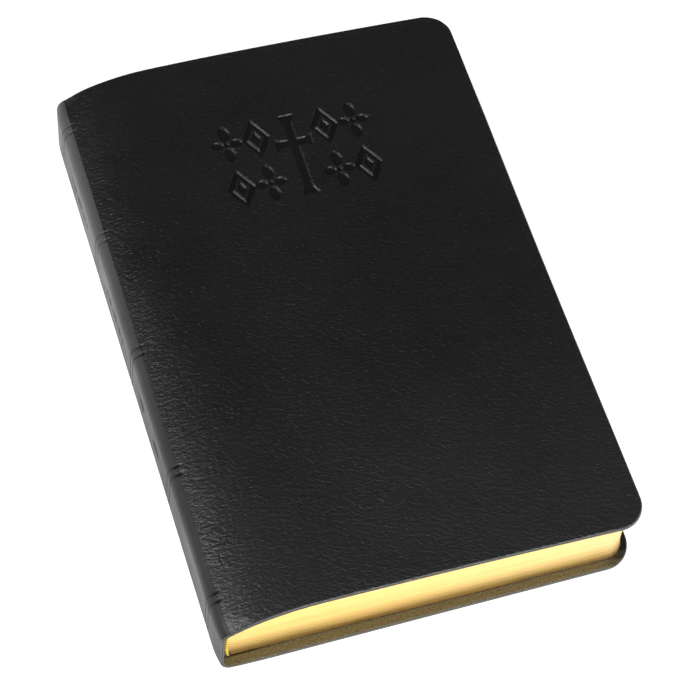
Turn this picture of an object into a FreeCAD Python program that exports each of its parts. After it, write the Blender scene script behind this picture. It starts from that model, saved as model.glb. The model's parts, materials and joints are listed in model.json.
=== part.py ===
import FreeCAD, Part
import math
import os

# A leather-bound bible lying on its back cover.
# +X runs from the spine to the fore-edge, +Y from the tail to the head, +Z up.
# The sizes below are measured from the outside of the spine (X), the tail of the covers (Y) and the
# outside of the back cover (Z). Each piece is then moved so that the part's origin is the middle of
# the back cover's outer face.

Vector = FreeCAD.Vector

# ---- Covers ------------------------------------------------------------------------------------
COVER_HEIGHT = 216.0
COVER_WIDTH = 146.0
PEAK_THICKNESS = 33.0
FORE_EDGE_THICKNESS = 30.0
PEAK_X = 34.0
ROLL_RADIUS = 65.8
SHOULDER_RADIUS = 6.0
SPINE_FOOT_RADIUS = 5.5
COVER_CORNER_RADIUS = 10.0
LEATHER = 1.0
BOARD = 0.8
ENDPAPER_IN_COVER = 0.4
COVER_THICKNESS = LEATHER + BOARD + ENDPAPER_IN_COVER
TURN_IN = 6.0
BOARD_INSET = 1.0

# ---- Spine -------------------------------------------------------------------------------------
INLAY = 0.6
INLAY_REACH = 5.5
INLAY_END_INSET = 2.0
FOLD_Z = 16.0
JOINT_X = 14.0
BOARD_START_X = JOINT_X + 1.5
PASTEDOWN_START_X = JOINT_X + 0.5

# ---- Leaves ------------------------------------------------------------------------------------
SQUARE = 3.0
PAGE_CORNER_RADIUS = 7.0
FORE_EDGE_HOLLOW = 1.2
ENDLEAF = 0.25
LEAF_GAP = 0.3
FRONT_LEAVES = ("front_flyleaf", "presentation_leaf", "title_leaf")
LOWER_SECTIONS = 10
UPPER_SECTIONS = 10
MIDDLE_LEAVES = 6
MIDDLE_LEAF = 0.6
ROOT_X = 4.15
LOWER_ROOT_ROUNDING = 1.3
UPPER_ROOT_ROUNDING = 3.9
ROOT_ROUNDING_Z = 10.0
CURVE_POINTS = 14

# ---- Head and tail bands ------------------------------------------------------------------------
BAND_RADIUS = 0.75
BAND_X = 3.2
BAND_OUT = 0.3
BAND_FOOT = (4.0, 4.0)
BAND_TOP = (5.5, 22.2)

# ---- Worked out from the above -------------------------------------------------------------------
ROLL_CENTRE = Vector(PEAK_X, PEAK_THICKNESS - ROLL_RADIUS, 0)
FALL = PEAK_THICKNESS - FORE_EDGE_THICKNESS
FLAT_RADIUS = ((COVER_WIDTH - PEAK_X) ** 2 + FALL ** 2) / (2 * FALL)
FLAT_CENTRE = Vector(PEAK_X, PEAK_THICKNESS - FLAT_RADIUS, 0)
SHOULDER_Z = ROLL_CENTRE.y + math.sqrt(
    (ROLL_RADIUS - SHOULDER_RADIUS) ** 2 - (PEAK_X - SHOULDER_RADIUS) ** 2
)
SHOULDER_CENTRE = Vector(SHOULDER_RADIUS, SHOULDER_Z, 0)
FOOT_CENTRE = Vector(SPINE_FOOT_RADIUS, SPINE_FOOT_RADIUS, 0)
JOINT_Z = ROLL_CENTRE.y + math.sqrt(ROLL_RADIUS ** 2 - (PEAK_X - JOINT_X) ** 2)
JOINT = Vector(JOINT_X, JOINT_Z, 0)
TEXT_BOTTOM_Z = COVER_THICKNESS + ENDLEAF
TEXT_TOP_DEPTH = COVER_THICKNESS + len(FRONT_LEAVES) * (LEAF_GAP + ENDLEAF) + LEAF_GAP
MIDDLE_BOTTOM_Z = FOLD_Z - MIDDLE_LEAVES * MIDDLE_LEAF / 2
MIDDLE_TOP_Z = FOLD_Z + MIDDLE_LEAVES * MIDDLE_LEAF / 2
TEXT_RIGHT_X = COVER_WIDTH - SQUARE
TO_ORIGIN = Vector(-COVER_WIDTH / 2, -COVER_HEIGHT / 2, 0)
OVERRUN = 5.0
FAR = 400.0


def unit(vector):
    """The same direction with length 1."""
    return vector * (1.0 / vector.Length)


def arc(centre, radius, start, end):
    """Circular arc round centre, from the start angle to the end angle in degrees, the short way."""
    angles = (start, (start + end) / 2.0, end)
    points = [
        centre + Vector(math.cos(math.radians(a)), math.sin(math.radians(a)), 0) * radius
        for a in angles
    ]
    return Part.Arc(*points).toShape()


def face_of(edges):
    return Part.Face(Part.Wire(Part.__sortEdges__(edges)))


def polygon(points):
    corners = [Vector(x, z, 0) for x, z in points]
    return Part.Face(Part.makePolygon(corners + corners[:1]))


def angle_of(vector):
    return math.degrees(math.atan2(vector.y, vector.x))


def outline(depth):
    """Cross-section of the closed book, moved inwards by depth; it overruns the fore-edge."""
    shoulder_angle = angle_of(SHOULDER_CENTRE - ROLL_CENTRE)
    run = COVER_WIDTH + OVERRUN - PEAK_X
    flat_radius = FLAT_RADIUS - depth
    flat_end_angle = 90.0 - math.degrees(math.asin(run / flat_radius))
    flat_end = FLAT_CENTRE + Vector(run, math.sqrt(flat_radius ** 2 - run ** 2), 0)
    bottom_left = Vector(SPINE_FOOT_RADIUS, depth, 0)
    bottom_right = Vector(COVER_WIDTH + OVERRUN, depth, 0)
    spine_low = Vector(depth, SPINE_FOOT_RADIUS, 0)
    spine_high = Vector(depth, SHOULDER_Z, 0)
    edges = [
        Part.LineSegment(bottom_left, bottom_right).toShape(),
        Part.LineSegment(bottom_right, flat_end).toShape(),
        arc(FLAT_CENTRE, flat_radius, flat_end_angle, 90.0),
        arc(ROLL_CENTRE, ROLL_RADIUS - depth, 90.0, shoulder_angle),
        arc(SHOULDER_CENTRE, SHOULDER_RADIUS - depth, shoulder_angle, 180.0),
        Part.LineSegment(spine_high, spine_low).toShape(),
        arc(FOOT_CENTRE, SPINE_FOOT_RADIUS - depth, 180.0, 270.0),
    ]
    return face_of(edges)


def band_between(outer_depth, inner_depth):
    """The layer of the cross-section that lies between two depths."""
    return outline(outer_depth).cut(outline(inner_depth))


def right_of_joint(gap):
    """Half plane on the fore-edge side of the front joint, square to the cover's surface there."""
    out = unit(JOINT - ROLL_CENTRE)
    along = Vector(out.y, -out.x, 0) * gap
    low = ROLL_CENTRE + along
    high = JOINT + out * ROLL_RADIUS + along
    return polygon([(low.x, low.y), (high.x, high.y), (FAR, high.y), (FAR, low.y)])


def box_region(x_low, x_high, z_low, z_high):
    return polygon([(x_low, z_low), (x_high, z_low), (x_high, z_high), (x_low, z_high)])


ABOVE_FOLD = box_region(-FAR, FAR, FOLD_Z, FAR)
BELOW_FOLD = box_region(-FAR, FAR, -FAR, FOLD_Z)


def extrude(region, y_low, y_high):
    """Solid with the given cross-section between two Y planes."""
    solid = region.extrude(Vector(0, 0, y_high - y_low))
    solid.rotate(Vector(0, 0, 0), Vector(1, 0, 0), 90)
    solid.translate(Vector(0, y_high, 0))
    return solid


def rounded_plan(inset, corner_radius):
    """Upright prism over the cover's plan, inset on three sides, with round fore-edge corners."""
    right = COVER_WIDTH - inset
    low = inset
    high = COVER_HEIGHT - inset
    left = -FAR
    edges = [
        Part.LineSegment(Vector(left, low, 0), Vector(right - corner_radius, low, 0)).toShape(),
        arc(Vector(right - corner_radius, low + corner_radius, 0), corner_radius, -90.0, 0.0),
        Part.LineSegment(
            Vector(right, low + corner_radius, 0), Vector(right, high - corner_radius, 0)
        ).toShape(),
        arc(Vector(right - corner_radius, high - corner_radius, 0), corner_radius, 0.0, 90.0),
        Part.LineSegment(Vector(right - corner_radius, high, 0), Vector(left, high, 0)).toShape(),
        Part.LineSegment(Vector(left, high, 0), Vector(left, low, 0)).toShape(),
    ]
    prism = face_of(edges).extrude(Vector(0, 0, 2 * FAR))
    prism.translate(Vector(0, 0, -FAR))
    return prism


COVER_PLAN = rounded_plan(0.0, COVER_CORNER_RADIUS)
BOARD_PLAN = rounded_plan(BOARD_INSET, COVER_CORNER_RADIUS - BOARD_INSET)
PASTEDOWN_PLAN = rounded_plan(TURN_IN, COVER_CORNER_RADIUS - TURN_IN)
PAGE_PLAN = rounded_plan(SQUARE, PAGE_CORNER_RADIUS)


def over_cover(region, plan):
    """Extrude a cross-section over the whole height of the covers and trim it to a plan."""
    return extrude(region, 0.0, COVER_HEIGHT).common(plan)


def save(name, shape):
    """Write one node at its place in the part's own frame, once its solids are known to be sound."""
    solids = shape.translated(TO_ORIGIN).Solids
    if not solids or not all(solid.isValid() for solid in solids):
        raise ValueError("bad solid in " + name)
    node = solids[0] if len(solids) == 1 else Part.makeCompound(solids)
    node.exportStep("parts/" + name + ".step")
    print(name, len(solids), round(sum(solid.Volume for solid in solids), 1))


# ---- Covers --------------------------------------------------------------------------------------
def cover_pieces(side, start_of_board, start_of_pastedown):
    """Board and pastedown of one cover."""
    board_layer = band_between(LEATHER, LEATHER + BOARD)
    inner_layer = band_between(LEATHER + BOARD, COVER_THICKNESS)
    board = over_cover(board_layer.common(side).common(start_of_board), BOARD_PLAN)
    pastedown = over_cover(inner_layer.common(side).common(start_of_pastedown), PASTEDOWN_PLAN)
    return board, pastedown


def make_front_cover():
    """Limp board covered in leather that turns in round three edges, with the pastedown inside."""
    board, pastedown = cover_pieces(
        ABOVE_FOLD,
        right_of_joint(BOARD_START_X - JOINT_X),
        right_of_joint(PASTEDOWN_START_X - JOINT_X),
    )
    blank = band_between(0.0, COVER_THICKNESS).common(ABOVE_FOLD).common(right_of_joint(0.0))
    leather = over_cover(blank, COVER_PLAN).cut(board).cut(pastedown)
    save("front_leather", leather)
    save("front_board", board)
    save("front_pastedown", pastedown)


def make_back_cover():
    """The same for the back; its leather also covers the joint and the lower half of the spine."""
    board, pastedown = cover_pieces(
        BELOW_FOLD,
        box_region(BOARD_START_X, FAR, -FAR, FAR),
        box_region(PASTEDOWN_START_X, FAR, -FAR, FAR),
    )
    skin = band_between(0.0, LEATHER).common(box_region(-FAR, JOINT_X, -FAR, FOLD_Z))
    blank = band_between(0.0, COVER_THICKNESS).common(box_region(JOINT_X, FAR, -FAR, FOLD_Z))
    leather = over_cover(skin, COVER_PLAN).fuse(over_cover(blank, COVER_PLAN)).removeSplitter()
    save("back_leather", leather.cut(board).cut(pastedown))
    save("back_board", board)
    save("back_pastedown", pastedown)


# ---- Spine ---------------------------------------------------------------------------------------
def text_regions():
    """Cross-sections of the sewn leaves below and above the fold, with roots rounded like the spine."""
    top_corner = root_point(1.0)
    outside_top = polygon(
        [(ROOT_X, MIDDLE_TOP_Z), (top_corner.x, top_corner.y), (top_corner.x, FAR), (ROOT_X, FAR)]
    )
    foot_x = ROOT_X + LOWER_ROOT_ROUNDING
    lower = polygon(
        [
            (ROOT_X, ROOT_ROUNDING_Z),
            (foot_x, TEXT_BOTTOM_Z),
            (FAR, TEXT_BOTTOM_Z),
            (FAR, FOLD_Z),
            (ROOT_X, FOLD_Z),
        ]
    )
    upper = outline(TEXT_TOP_DEPTH).common(box_region(ROOT_X, FAR, FOLD_Z, FAR)).cut(outside_top)
    return lower, upper


def make_spine():
    """Spine leather, limp inlay and lining; each is in two halves that meet at the fold."""
    inlay_layer = band_between(LEATHER, LEATHER + INLAY)
    inlay_layer = inlay_layer.common(box_region(0.0, INLAY_REACH, 0.0, FAR))
    lower_text, upper_text = text_regions()
    lining_layer = outline(LEATHER).cut(inlay_layer).cut(lower_text).cut(upper_text)
    left_of_joint = outline(0.0).cut(right_of_joint(0.0))
    lower_side = BELOW_FOLD.common(box_region(0.0, JOINT_X, -FAR, FAR))
    upper_side = ABOVE_FOLD.common(left_of_joint)
    flyleaf_layer = box_region(PASTEDOWN_START_X, FAR, 0.0, TEXT_BOTTOM_Z)

    skin = band_between(0.0, LEATHER).common(upper_side)
    save("spine_leather", over_cover(skin, COVER_PLAN))
    for name, side in (("lower", lower_side), ("upper", upper_side)):
        inlay = extrude(
            inlay_layer.common(side), INLAY_END_INSET, COVER_HEIGHT - INLAY_END_INSET
        )
        lining_ends = SQUARE + BAND_RADIUS - BAND_OUT
        lining = extrude(
            lining_layer.common(side).cut(flyleaf_layer), lining_ends, COVER_HEIGHT - lining_ends
        )
        save("spine_inlay_" + name, inlay)
        save("spine_lining_" + name, lining)


def bead(points, y):
    """Round bead along straight runs at constant Y, cut square at its first point."""
    shapes = [Part.makeSphere(BAND_RADIUS, Vector(x, y, z)) for x, z in points[1:]]
    for (x_1, z_1), (x_2, z_2) in zip(points, points[1:]):
        run = Vector(x_2 - x_1, 0, z_2 - z_1)
        shapes.append(Part.makeCylinder(BAND_RADIUS, run.Length, Vector(x_1, y, z_1), run))
    return shapes[0].multiFuse(shapes[1:])


def make_bands():
    """Sewn bands at the head and tail of the spine; each is in two halves that meet at the fold."""
    routes = {
        "lower": [(BAND_X, FOLD_Z), (BAND_X, ROOT_ROUNDING_Z), BAND_FOOT],
        "upper": [(BAND_X, FOLD_Z), (BAND_X, MIDDLE_TOP_Z), BAND_TOP],
    }
    ends = {"tail": SQUARE - BAND_OUT, "head": COVER_HEIGHT - SQUARE + BAND_OUT}
    for end, y in ends.items():
        for half, route in routes.items():
            save(end + "_band_" + half, bead(route, y))


# ---- Leaves --------------------------------------------------------------------------------------
def text_top(x):
    """Height of the top of the sewn leaves."""
    if x < PEAK_X:
        radius = ROLL_RADIUS - TEXT_TOP_DEPTH
        return ROLL_CENTRE.y + math.sqrt(radius ** 2 - (PEAK_X - x) ** 2)
    radius = FLAT_RADIUS - TEXT_TOP_DEPTH
    return FLAT_CENTRE.y + math.sqrt(radius ** 2 - (x - PEAK_X) ** 2)


def root_point(share):
    """Spine end of the leaf that lies at this share of the upper half's thickness."""
    x = ROOT_X + share * UPPER_ROOT_ROUNDING
    return Vector(x, MIDDLE_TOP_Z + share * (text_top(x) - MIDDLE_TOP_Z), 0)


def fore_edge_x(z):
    """The fore-edge is hollowed along its middle, as the spine is rounded."""
    middle = (TEXT_BOTTOM_Z + FORE_EDGE_THICKNESS - TEXT_TOP_DEPTH) / 2.0
    off_centre = (z - middle) / (middle - TEXT_BOTTOM_Z)
    return TEXT_RIGHT_X - FORE_EDGE_HOLLOW * max(0.0, 1.0 - off_centre ** 2)


def flat_leaf(z_low, z_high):
    """Flat leaves of the lower half and the middle."""
    def root_x(z):
        rounding = max(0.0, ROOT_ROUNDING_Z - z) / (ROOT_ROUNDING_Z - TEXT_BOTTOM_Z)
        return ROOT_X + LOWER_ROOT_ROUNDING * rounding

    region = polygon(
        [
            (root_x(z_low), z_low),
            (fore_edge_x(z_low), z_low),
            (fore_edge_x(z_high), z_high),
            (root_x(z_high), z_high),
        ]
    )
    return over_cover(region, PAGE_PLAN)


def upper_curve(share):
    """Surface between two sections of the upper half, which droop towards the spine."""
    start = root_point(share)
    end_z = MIDDLE_TOP_Z + share * (text_top(TEXT_RIGHT_X) - MIDDLE_TOP_Z)
    end_x = fore_edge_x(end_z)
    points = []
    for i in range(CURVE_POINTS + 1):
        x = start.x + (end_x - start.x) * (i / CURVE_POINTS) ** 2
        points.append(Vector(x, MIDDLE_TOP_Z + share * (text_top(x) - MIDDLE_TOP_Z), 0))
    return points


def upper_section(share_low, share_high):
    curves = []
    for share in (share_low, share_high):
        points = upper_curve(share)
        if share == 0.0:
            edge = Part.LineSegment(points[0], points[-1]).toShape()
        else:
            spline = Part.BSplineCurve()
            spline.interpolate(points)
            edge = spline.toShape()
        curves.append((edge, points[0], points[-1]))
    (low, low_start, low_end), (high, high_start, high_end) = curves
    root = Part.LineSegment(low_start, high_start).toShape()
    fore_edge = Part.LineSegment(low_end, high_end).toShape()
    return over_cover(face_of([low, fore_edge, high, root]), PAGE_PLAN)


def make_leaves():
    back_layer = box_region(PASTEDOWN_START_X, TEXT_RIGHT_X, COVER_THICKNESS, TEXT_BOTTOM_Z)
    save("back_flyleaf", over_cover(back_layer, PAGE_PLAN))
    section = (MIDDLE_BOTTOM_Z - TEXT_BOTTOM_Z) / LOWER_SECTIONS
    for i in range(LOWER_SECTIONS):
        low = TEXT_BOTTOM_Z + i * section
        save("section_%02d" % (i + 1), flat_leaf(low, low + section))
    for i in range(MIDDLE_LEAVES):
        low = MIDDLE_BOTTOM_Z + i * MIDDLE_LEAF
        save("middle_leaf_%d" % (i + 1), flat_leaf(low, low + MIDDLE_LEAF))
    for i in range(UPPER_SECTIONS):
        name = "section_%02d" % (LOWER_SECTIONS + i + 1)
        save(name, upper_section(i / UPPER_SECTIONS, (i + 1) / UPPER_SECTIONS))
    depth = COVER_THICKNESS
    for name in FRONT_LEAVES:
        depth += LEAF_GAP
        layer = band_between(depth, depth + ENDLEAF).common(ABOVE_FOLD)
        layer = layer.common(right_of_joint(PASTEDOWN_START_X - JOINT_X))
        save(name, over_cover(layer, PAGE_PLAN))
        depth += ENDLEAF


os.makedirs("parts", exist_ok=True)
make_front_cover()
make_back_cover()
make_spine()
make_bands()
make_leaves()
print("front joint axis x, z:", round(JOINT_X + TO_ORIGIN.x, 4), round(JOINT_Z, 4))
print("spine fold axis x, z:", TO_ORIGIN.x, FOLD_Z)
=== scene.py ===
import json
import math

import bpy
import numpy as np
from mathutils import Matrix, Vector


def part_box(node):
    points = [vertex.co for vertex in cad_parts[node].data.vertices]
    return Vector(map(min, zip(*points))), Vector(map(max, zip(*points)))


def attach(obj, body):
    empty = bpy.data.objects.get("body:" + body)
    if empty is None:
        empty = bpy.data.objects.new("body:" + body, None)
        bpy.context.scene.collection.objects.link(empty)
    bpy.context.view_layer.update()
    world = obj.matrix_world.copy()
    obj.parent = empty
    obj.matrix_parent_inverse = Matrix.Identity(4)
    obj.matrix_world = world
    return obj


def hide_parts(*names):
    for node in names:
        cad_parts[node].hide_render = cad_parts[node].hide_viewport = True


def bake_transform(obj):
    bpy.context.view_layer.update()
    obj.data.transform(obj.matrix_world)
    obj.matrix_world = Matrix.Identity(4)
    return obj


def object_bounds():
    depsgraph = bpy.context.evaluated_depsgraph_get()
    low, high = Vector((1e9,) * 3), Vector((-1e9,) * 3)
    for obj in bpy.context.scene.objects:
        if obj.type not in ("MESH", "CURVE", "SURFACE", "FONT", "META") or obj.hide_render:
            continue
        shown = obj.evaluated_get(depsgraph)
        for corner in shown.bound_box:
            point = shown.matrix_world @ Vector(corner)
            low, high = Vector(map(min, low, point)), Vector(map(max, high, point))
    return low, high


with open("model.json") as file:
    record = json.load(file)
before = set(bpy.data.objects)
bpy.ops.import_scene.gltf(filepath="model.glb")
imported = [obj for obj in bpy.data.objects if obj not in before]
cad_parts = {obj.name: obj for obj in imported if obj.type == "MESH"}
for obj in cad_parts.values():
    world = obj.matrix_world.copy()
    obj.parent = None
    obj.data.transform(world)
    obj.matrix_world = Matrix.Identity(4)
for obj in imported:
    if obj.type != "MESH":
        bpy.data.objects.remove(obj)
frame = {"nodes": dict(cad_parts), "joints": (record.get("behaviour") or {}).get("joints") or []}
cad_low, cad_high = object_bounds()

# A leather-bound bible lying on its back cover. Metres; +X from the spine to the fore-edge,
# +Y from the tail to the head, +Z up. Plain sizes are measured from the spine, tail and table.

# ---- Sizes taken from the frame --------------------------------------
JOINTS = {joint["name"]: joint for joint in frame["joints"]}
SPINE_X = cad_low.x
TAIL_Y = cad_low.y
WIDTH = cad_high.x - cad_low.x
HEIGHT = cad_high.y - cad_low.y
PEAK_Z = cad_high.z
JOINT_X = JOINTS["front_cover_hinge"]["pos_m"][0] - SPINE_X
TEXT_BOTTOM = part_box("section_01")[0].z
MIDDLE_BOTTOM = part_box("middle_leaf_1")[0].z
MIDDLE_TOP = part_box("section_11")[0].z
ROOT_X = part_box("section_10")[0].x - SPINE_X
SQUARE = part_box("section_01")[0].y - TAIL_Y
FORE_X = WIDTH - SQUARE

# ---- Sizes of the covers' cross-section ------------------------------
PEAK_X = 0.034  # where the front cover is highest
FORE_EDGE_Z = 0.030
ROLL_RADIUS = 0.0658
SHOULDER_RADIUS = 0.006
FOOT_RADIUS = 0.0050
CORNER_RADIUS = 0.010
COVER_THICKNESS = 0.0021
SPINE_THICKNESS = 0.0010
TURN_IN = 0.006
RIM = 0.0008

# ---- Leaves ----------------------------------------------------------
PAGE_CORNER = 0.007
HOLLOW = 0.0012
LOWER_ROOT_ROUNDING = 0.0013
UPPER_ROOT_ROUNDING = 0.0039
ROOT_ROUNDING_Z = 0.010
TEXT_TOP_DEPTH = 0.00415
SECTIONS = 10
MIDDLE_LEAVES = 6
SHEETS_PER_LEAF = 3

# ---- The two arcs of the front cover ---------------------------------
# One is nearly flat and runs to the fore-edge; the other rolls down to the spine.
FLAT_RUN = WIDTH - PEAK_X
FALL = PEAK_Z - FORE_EDGE_Z
FLAT_RADIUS = (FLAT_RUN ** 2 + FALL ** 2) / (2 * FALL)
ROLL_CENTRE = (PEAK_X, PEAK_Z - ROLL_RADIUS)
FLAT_CENTRE = (PEAK_X, PEAK_Z - FLAT_RADIUS)
SHOULDER_Z = ROLL_CENTRE[1] + math.sqrt(
    (ROLL_RADIUS - SHOULDER_RADIUS) ** 2 - (PEAK_X - SHOULDER_RADIUS) ** 2
)


# ---- The outline of the closed book ----------------------------------
FLAT_STEPS, ROLL_STEPS, SHOULDER_STEPS, FOOT_STEPS = 80, 60, 30, 40
NORMAL_SAMPLES = 4000
NORMAL_WINDOW = 9


def arc_run(centre, radius, start, end, count):
    """Points along an arc between two angles in degrees."""
    angles = np.radians(np.linspace(start, end, count))
    return np.column_stack([centre[0] + radius * np.cos(angles), centre[1] + radius * np.sin(angles)])


def outline():
    """Outside of the covers from the front fore-edge, over the spine, to the back fore-edge.

    Returns the points and how far along it they are from the crease, where the roll meets the spine."""
    flat_end = 90 - math.degrees(math.asin(FLAT_RUN / FLAT_RADIUS))
    shoulder = math.degrees(math.atan2(SHOULDER_Z - ROLL_CENTRE[1], SHOULDER_RADIUS - PEAK_X))
    top = arc_run(FLAT_CENTRE, FLAT_RADIUS, flat_end, 90, FLAT_STEPS)
    roll = arc_run(ROLL_CENTRE, ROLL_RADIUS, 90, shoulder, ROLL_STEPS)
    turn = arc_run((SHOULDER_RADIUS, SHOULDER_Z), SHOULDER_RADIUS, shoulder, 180, SHOULDER_STEPS)
    foot = arc_run((FOOT_RADIUS, FOOT_RADIUS), FOOT_RADIUS, 180, 270, FOOT_STEPS)
    back = np.array([[WIDTH, 0.0]])
    points = np.vstack([top, roll[1:], turn[1:], foot, back])
    steps = np.hypot(*np.diff(points, axis=0).T)
    to_crease = steps[: len(top) + len(roll) - 2].sum()
    return points, np.concatenate([[0], np.cumsum(steps)]) - to_crease


OUTLINE, ALONG = outline()
FRONT, BACK = -1, 1
FRONT_LENGTH = -ALONG[0]
BACK_LENGTH = ALONG[-1]


def outline_normals():
    """Outward directions at the outline's points."""
    fine = np.linspace(ALONG[0], ALONG[-1], NORMAL_SAMPLES)
    x = np.interp(fine, ALONG, OUTLINE[:, 0])
    z = np.interp(fine, ALONG, OUTLINE[:, 1])
    tangent = np.column_stack([np.gradient(x, fine), np.gradient(z, fine)])
    kernel = np.ones(NORMAL_WINDOW) / NORMAL_WINDOW
    padded = [np.pad(part, NORMAL_WINDOW // 2, "edge") for part in tangent.T]
    tangent = np.column_stack([np.convolve(part, kernel, "valid") for part in padded])
    tangent /= np.hypot(*tangent.T)[:, None]
    return fine, tangent[:, 1], -tangent[:, 0]


FINE, NORMAL_X, NORMAL_Z = outline_normals()


def on_cover(side, s, y, depth):
    """Point at distance s from the crease along the front or back cover, depth under its surface."""
    along = side * s
    x = np.interp(along, ALONG, OUTLINE[:, 0]) - depth * np.interp(along, FINE, NORMAL_X)
    z = np.interp(along, ALONG, OUTLINE[:, 1]) - depth * np.interp(along, FINE, NORMAL_Z)
    return np.stack([x + SPINE_X, y + TAIL_Y, z], axis=-1)


def cover_length(side):
    """Distance from the crease to the fore-edge along a cover."""
    return FRONT_LENGTH if side == FRONT else BACK_LENGTH


def s_at_x(side, x):
    """Distance from the crease to the place on a cover that is x from the spine."""
    half = ALONG <= 0 if side == FRONT else OUTLINE[:, 1] < FOOT_RADIUS
    order = np.argsort(OUTLINE[half, 0])
    return abs(np.interp(x, OUTLINE[half, 0][order], ALONG[half][order]))


SPINE_RUN = s_at_x(BACK, FOOT_RADIUS)


# ---- Meshes ----------------------------------------------------------
def smoothstep(low, high, value):
    """0 below low, 1 above high, and a smooth rise between them."""
    t = np.clip((value - low) / (high - low), 0, 1)
    return t * t * (3 - 2 * t)


def make_piece(name, points, faces, materials, indices, rest=None):
    """A mesh object with smooth faces; rest keeps each point's place for the materials."""
    mesh = bpy.data.meshes.new(name)
    mesh.from_pydata(np.asarray(points).tolist(), [], [tuple(int(i) for i in f) for f in faces])
    for material in materials:
        mesh.materials.append(material)
    mesh.polygons.foreach_set("material_index", np.asarray(indices, np.int32))
    mesh.polygons.foreach_set("use_smooth", np.ones(len(faces), bool))
    layer = mesh.attributes.new("rest", "FLOAT_VECTOR", "POINT")
    layer.data.foreach_set("vector", np.asarray(points if rest is None else rest, float).ravel())
    mesh.update()
    piece = bpy.data.objects.new(name, mesh)
    bpy.context.scene.collection.objects.link(piece)
    return piece


def loop_round(columns, rows):
    """Grid places round the edge of a grid, in order."""
    tail = [(i, 0) for i in range(columns)]
    fore = [(columns - 1, j) for j in range(1, rows)]
    head = [(i, rows - 1) for i in range(columns - 2, -1, -1)]
    spine = [(0, j) for j in range(rows - 2, 0, -1)]
    return tail + fore + head + spine


def closed_slab(grids, rings, columns, rows):
    """Points and faces of a closed slab: a top grid, rings round its edge, and a bottom grid.

    Returns the points, the faces and each face's level, from 0 on the top to 1 below."""
    top, bottom = grids
    loop = loop_round(columns, rows)
    count = columns * rows
    points = [top.reshape(-1, 3)] + list(rings) + [bottom.reshape(-1, 3)]
    base = count + len(rings) * len(loop)
    index = np.arange(count).reshape(columns, rows)
    a, b = index[:-1, :-1].ravel(), index[1:, :-1].ravel()
    c, d = index[1:, 1:].ravel(), index[:-1, 1:].ravel()
    faces = [np.column_stack([a, b, c, d]), np.column_stack([d, c, b, a]) + base]
    levels = [np.zeros(len(a)), np.ones(len(a))]
    edge = np.array([index[i, j] for i, j in loop])
    loops = [edge] + [count + k * len(loop) + np.arange(len(loop)) for k in range(len(rings))]
    loops.append(edge + base)
    for k, (upper, lower) in enumerate(zip(loops, loops[1:])):
        faces.append(np.column_stack([upper, lower, np.roll(lower, -1), np.roll(upper, -1)]))
        levels.append(np.full(len(loop), (k + 0.5) / (len(loops) - 1)))
    return np.vstack(points), np.vstack(faces), np.concatenate(levels)


def on_edge(levels):
    """1 for the faces round the edge of a slab, 0 for its top and bottom."""
    return ((levels > 0) & (levels < 1)).astype(int)


def row_plan(inset, length, radius, middle, corner_steps):
    """For each row of a rounded plan: its height y and how far it reaches from the spine side."""
    turn = np.radians(np.linspace(0, 90, corner_steps))
    low = radius - (radius - inset) * np.cos(turn)
    reach = length - radius + (radius - inset) * np.sin(turn)
    y = np.concatenate([low, middle, (HEIGHT - low)[::-1]])
    far = np.concatenate([reach, np.full(len(middle), length - inset), reach[::-1]])
    return y, far


def lines_between(start, end, spacing, fine=()):
    """Grid lines from start to end, closer together inside the given (start, end, spacing) stretches."""
    lines = [start]
    while lines[-1] < end:
        step = spacing
        for low, high, fine_spacing in fine:
            if low - spacing < lines[-1] < high:
                step = min(step, fine_spacing)
        lines.append(lines[-1] + step)
    return np.array(lines[:-1] + [end])


FORE_BOW = 0.00025
FORE_SLANT = 0.0007
HEAD_REACH = 0.022
CREASE_DRAWN_IN = 0.0004
SPINE_DRAWN_IN = 0.0010
TAIL_REACH = 0.05
TAIL_SAG = 0.00105
TAIL_CORNER_DRAWN_IN = 0.0007


def limp_edges(side, s, y):
    """The soft covers are not quite straight: the head of the spine is drawn in, the front
    fore-edge bows, and the tail of the back cover sags outwards."""
    far = (s / cover_length(side)) ** 4
    at_head = smoothstep(HEIGHT - HEAD_REACH, HEIGHT, y)
    if side == FRONT:
        bow = FORE_BOW * np.cos(2 * math.pi * y / HEIGHT) + FORE_SLANT * (y / HEIGHT - 0.5)
        drawn_in = CREASE_DRAWN_IN * at_head * (1 - smoothstep(0.012, 0.060, s))
        return s + bow * far, y - drawn_in
    drawn_in = CREASE_DRAWN_IN + SPINE_DRAWN_IN * smoothstep(0.20 * SPINE_RUN, 0.75 * SPINE_RUN, s)
    drawn_in = drawn_in * at_head * (1 - smoothstep(SPINE_RUN - 0.004, SPINE_RUN + 0.014, s))
    at_tail = 1 - smoothstep(0.0, TAIL_REACH, y)
    on_back = smoothstep(0.4 * SPINE_RUN, SPINE_RUN, s)
    sag = TAIL_SAG * at_tail * on_back * (1 - 0.75 * s / BACK_LENGTH)
    return s - TAIL_CORNER_DRAWN_IN * at_tail * far, y - drawn_in - sag


SHELL_CORNER_STEPS = 30
SHELL_SHARP_ANGLE = 65
TURNED_EDGE_ANGLES = np.radians([22.5, 45, 67.5, 90, 112.5, 135, 157.5])


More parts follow.
